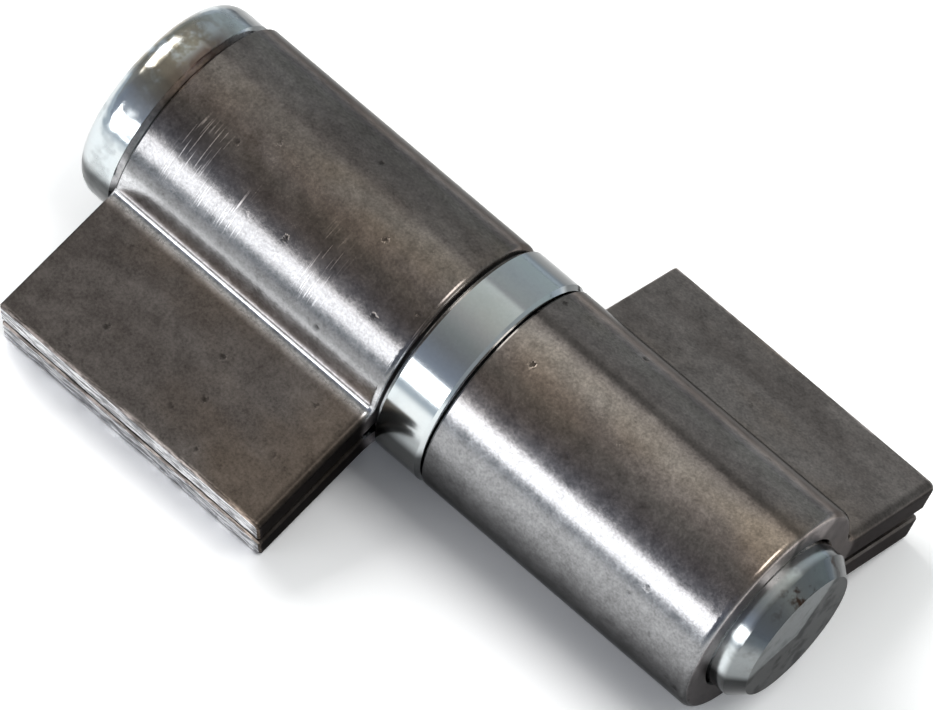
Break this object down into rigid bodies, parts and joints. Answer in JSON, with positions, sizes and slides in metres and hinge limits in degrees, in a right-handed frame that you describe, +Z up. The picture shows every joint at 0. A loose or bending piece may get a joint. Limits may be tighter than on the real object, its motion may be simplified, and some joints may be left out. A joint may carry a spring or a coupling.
{
  "type": "weld-on barrel hinge",
  "caption": "Loose-pin barrel hinge for gates: folded strip leaves with double-layer welding flags, a thrust ring between the barrels and a headed pin.",
  "frame": {"origin": "on the pin axis, at the middle of the hinge's bounding box, as the hinge lies on a bench with both flags touching it", "axes": "+X along the pin from its head to its tip; +Z up from the bench; the frame leaf's flag points to +Y and the gate leaf's to -Y"},
  "size_m": [0.0792, 0.0506, 0.0224],
  "materials": {
    "leaf_steel": "bare mill steel, dark satin",
    "zinc_plate": "bright zinc plate"
  },
  "bodies": {
    "frame_leaf": {"frame_leaf": "leaf_steel"},
    "gate_leaf": {"gate_leaf": "leaf_steel"},
    "thrust_ring": {"thrust_ring": "zinc_plate"},
    "pin": {"pin": "zinc_plate"}
  },
  "joints": [
    {"name": "gate_swing", "type": "hinge", "parent": "frame_leaf", "child": "gate_leaf", "pos_m": [0, 0, 0], "axis": [1, 0, 0], "continuous": true},
    {"name": "ring_spin", "type": "hinge", "parent": "frame_leaf", "child": "thrust_ring", "pos_m": [0, 0, 0], "axis": [1, 0, 0], "continuous": true},
    {"name": "pin_pull", "type": "slide", "parent": "thrust_ring", "child": "pin", "axis": [-1, 0, 0], "range_m": [0, 0.0747]}
  ]
}
